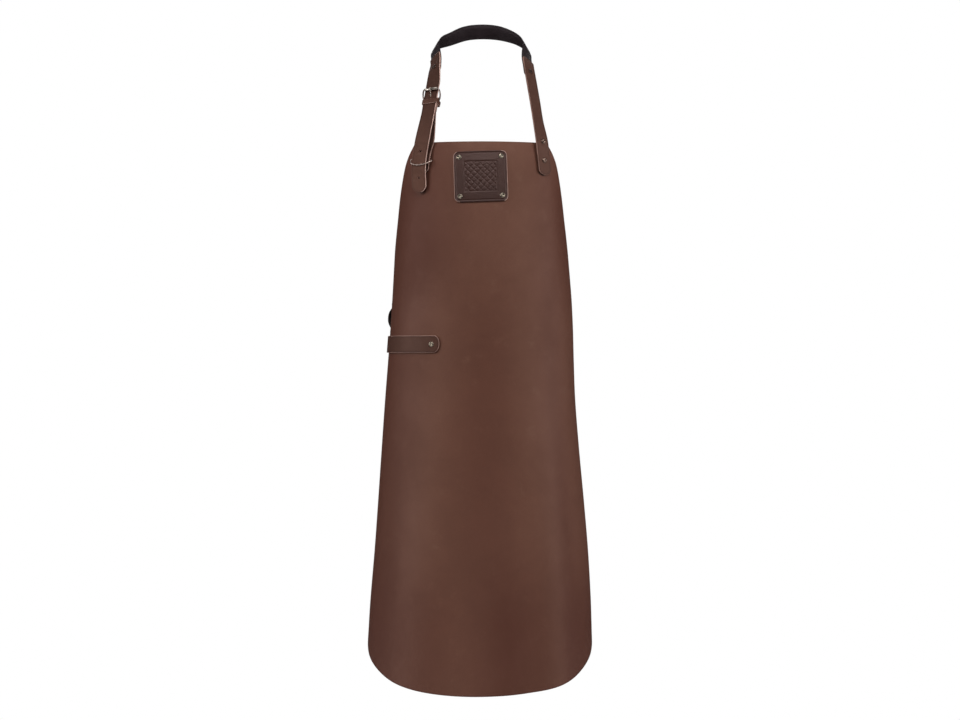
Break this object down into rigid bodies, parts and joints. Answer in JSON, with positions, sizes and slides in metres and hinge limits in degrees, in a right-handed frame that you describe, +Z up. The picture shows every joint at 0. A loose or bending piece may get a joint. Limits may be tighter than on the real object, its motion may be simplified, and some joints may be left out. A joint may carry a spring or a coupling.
{
  "type": "leather work apron",
  "caption": "Brown leather work apron in its worn form, with a plain badge patch on the bib, a buckled neck strap with a padded band and a riveted waist strap.",
  "frame": {"origin": "on the inner face of the padded neck band, at the wearer's nape, where the apron hangs", "axes": "+Z up, the front of the apron faces -Y, +X to the right as the front is seen"},
  "size_m": [0.4184, 0.237, 1.2441],
  "materials": {
    "panel_leather": "matt, waxed",
    "strap_leather": "matt, waxed",
    "patch_leather": "matt",
    "black_leather": "matt",
    "nickel": "satin"
  },
  "bodies": {
    "root": {"apron_panel": "panel_leather", "badge_patch": "patch_leather", "badge_rivet_1": "nickel", "badge_rivet_2": "nickel", "badge_rivet_3": "nickel", "badge_rivet_4": "nickel", "neck_band": "black_leather", "neck_strap_right": "strap_leather", "neck_strap_left": "strap_leather", "right_rivet_upper": "nickel", "right_rivet_lower": "nickel", "band_rivet_right": "nickel", "band_rivet_left": "nickel", "buckle_strap": "strap_leather", "buckle_strap_rivet_upper": "nickel", "buckle_strap_rivet_lower": "nickel", "buckle_frame": "nickel", "buckle_roller": "nickel", "buckle_prong": "nickel", "buckle_keeper": "strap_leather", "strap_keeper": "nickel", "waist_strap_left": "strap_leather", "waist_strap_right": "strap_leather", "waist_clasp": "nickel", "waist_rivet_left": "nickel", "waist_rivet_right": "nickel", "side_loop": "black_leather", "side_loop_rivet_upper": "nickel", "side_loop_rivet_lower": "nickel"}
  },
  "joints": []
}
